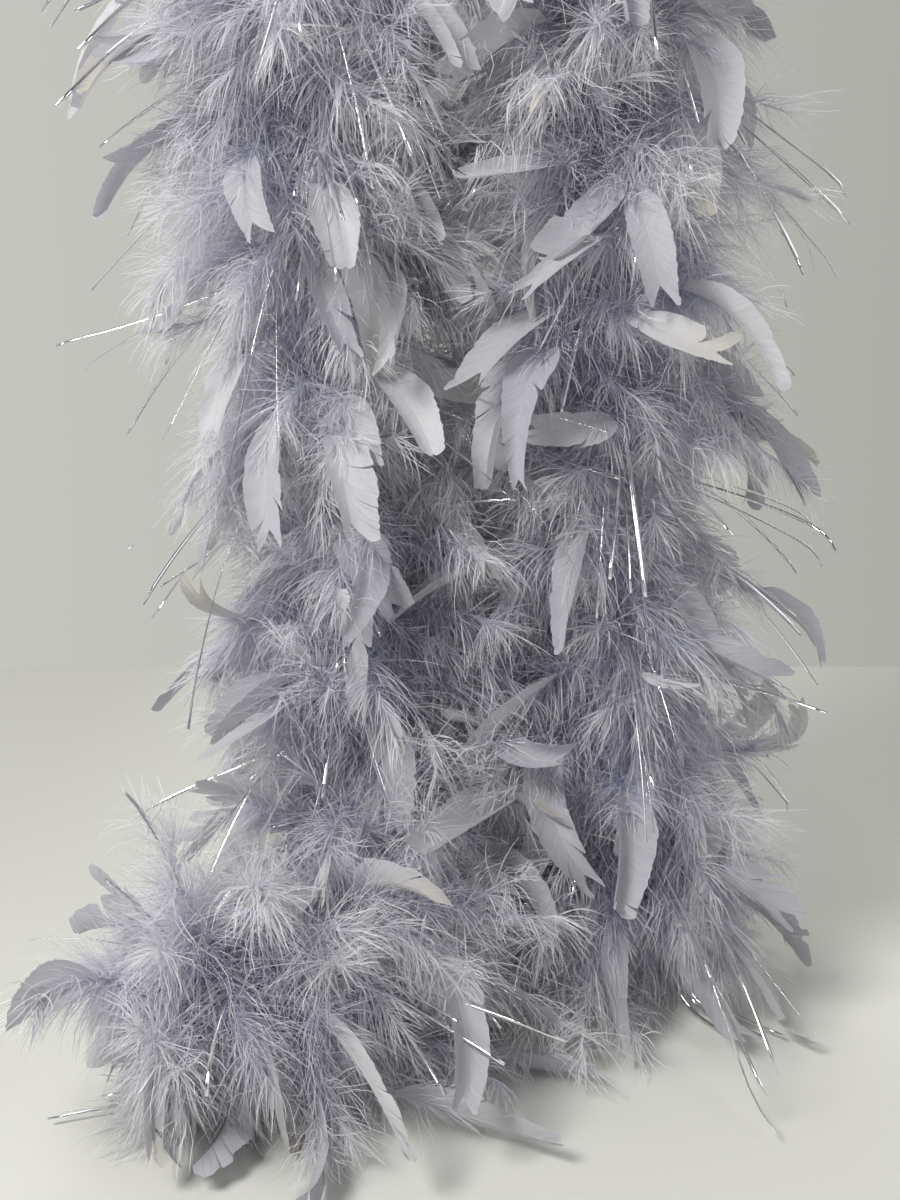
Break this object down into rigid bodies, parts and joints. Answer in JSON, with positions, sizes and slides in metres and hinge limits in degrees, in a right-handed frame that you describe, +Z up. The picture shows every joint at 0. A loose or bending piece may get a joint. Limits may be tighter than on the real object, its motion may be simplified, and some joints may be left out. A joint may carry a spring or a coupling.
{
  "type": "feather boa",
  "caption": "Fluffy pale lavender-grey feather boa with silver tinsel strands, hung doubled over a rod, one end trailing on the surface below",
  "frame": {"origin": "inside top of the fold, where the core cord rests on the rod that holds the boa up", "axes": "+Z up, +X to the viewer's right, -Y towards the front; the two halves hang side by side along X, and the left end trails forwards on the surface 880 mm below the origin"},
  "size_m": [0.3383, 0.2887, 0.9294],
  "materials": {
    "core_cord": "twisted cotton cord, dyed lavender grey",
    "binding_thread": "fine polyester thread wraps",
    "feather_vane": "smooth closed vanes with a soft satin sheen, some tips cream or tan",
    "feather_down": "loose fine down barbs, matte and slightly see-through",
    "tinsel": "narrow strips of silver metallised film, mirror bright"
  },
  "bodies": {
    "crown": {"core_cord_crown": "core_cord", "binding_thread_crown": "binding_thread", "flat_feathers_crown": "feather_vane", "down_feathers_crown": "feather_down", "tinsel_crown": "tinsel"},
    "left_upper": {"core_cord_left_upper": "core_cord", "binding_thread_left_upper": "binding_thread", "flat_feathers_left_upper": "feather_vane", "down_feathers_left_upper": "feather_down", "tinsel_left_upper": "tinsel"},
    "left_middle": {"core_cord_left_middle": "core_cord", "binding_thread_left_middle": "binding_thread", "flat_feathers_left_middle": "feather_vane", "down_feathers_left_middle": "feather_down", "tinsel_left_middle": "tinsel"},
    "left_lower": {"core_cord_left_lower": "core_cord", "binding_thread_left_lower": "binding_thread", "flat_feathers_left_lower": "feather_vane", "down_feathers_left_lower": "feather_down", "tinsel_left_lower": "tinsel"},
    "left_tail": {"core_cord_left_tail": "core_cord", "binding_thread_left_tail": "binding_thread", "flat_feathers_left_tail": "feather_vane", "down_feathers_left_tail": "feather_down", "tinsel_left_tail": "tinsel", "end_knot_left": "core_cord"},
    "right_upper": {"core_cord_right_upper": "core_cord", "binding_thread_right_upper": "binding_thread", "flat_feathers_right_upper": "feather_vane", "down_feathers_right_upper": "feather_down", "tinsel_right_upper": "tinsel"},
    "right_middle": {"core_cord_right_middle": "core_cord", "binding_thread_right_middle": "binding_thread", "flat_feathers_right_middle": "feather_vane", "down_feathers_right_middle": "feather_down", "tinsel_right_middle": "tinsel"},
    "right_lower": {"core_cord_right_lower": "core_cord", "binding_thread_right_lower": "binding_thread", "flat_feathers_right_lower": "feather_vane", "down_feathers_right_lower": "feather_down", "tinsel_right_lower": "tinsel", "end_knot_right": "core_cord"}
  },
  "joints": [
    {"name": "left_shoulder", "type": "hinge", "parent": "crown", "child": "left_upper", "pos_m": [-0.05301, 0, -0.10109], "axis": [0, 1, 0], "range_deg": [0, 15], "deforming": ["flat_feathers_crown", "tinsel_crown", "flat_feathers_left_upper", "tinsel_left_upper"]},
    {"name": "left_elbow", "type": "hinge", "parent": "left_upper", "child": "left_middle", "pos_m": [-0.07456, 0.00208, -0.3245], "axis": [1, 0, 0], "range_deg": [-15, 15], "deforming": ["flat_feathers_left_upper", "tinsel_left_upper", "flat_feathers_left_middle", "tinsel_left_middle"]},
    {"name": "left_knee", "type": "hinge", "parent": "left_middle", "child": "left_lower", "pos_m": [-0.06574, 0.00204, -0.54986], "axis": [0, 1, 0], "range_deg": [0, 15], "deforming": ["flat_feathers_left_middle", "tinsel_left_middle", "flat_feathers_left_lower", "tinsel_left_lower"]},
    {"name": "left_tail_lift", "type": "hinge", "parent": "left_lower", "child": "left_tail", "pos_m": [-0.04858, -0.02871, -0.77033], "axis": [-0.9871, -0.1602, 0], "range_deg": [-15, 15], "deforming": ["flat_feathers_left_lower", "tinsel_left_lower", "flat_feathers_left_tail", "tinsel_left_tail"]},
    {"name": "right_shoulder", "type": "hinge", "parent": "crown", "child": "right_upper", "pos_m": [0.05301, 0, -0.10109], "axis": [0, -1, 0], "range_deg": [0, 15], "deforming": ["flat_feathers_crown", "tinsel_crown", "flat_feathers_right_upper", "tinsel_right_upper"]},
    {"name": "right_elbow", "type": "hinge", "parent": "right_upper", "child": "right_middle", "pos_m": [0.07457, 0.00348, -0.32443], "axis": [1, 0, 0], "range_deg": [-15, 15], "deforming": ["flat_feathers_right_upper", "tinsel_right_upper", "flat_feathers_right_middle", "tinsel_right_middle"]},
    {"name": "right_knee", "type": "hinge", "parent": "right_middle", "child": "right_lower", "pos_m": [0.07617, -0.00094, -0.55006], "axis": [0, -1, 0], "range_deg": [0, 15], "deforming": ["flat_feathers_right_middle", "tinsel_right_middle", "flat_feathers_right_lower", "tinsel_right_lower"]}
  ]
}
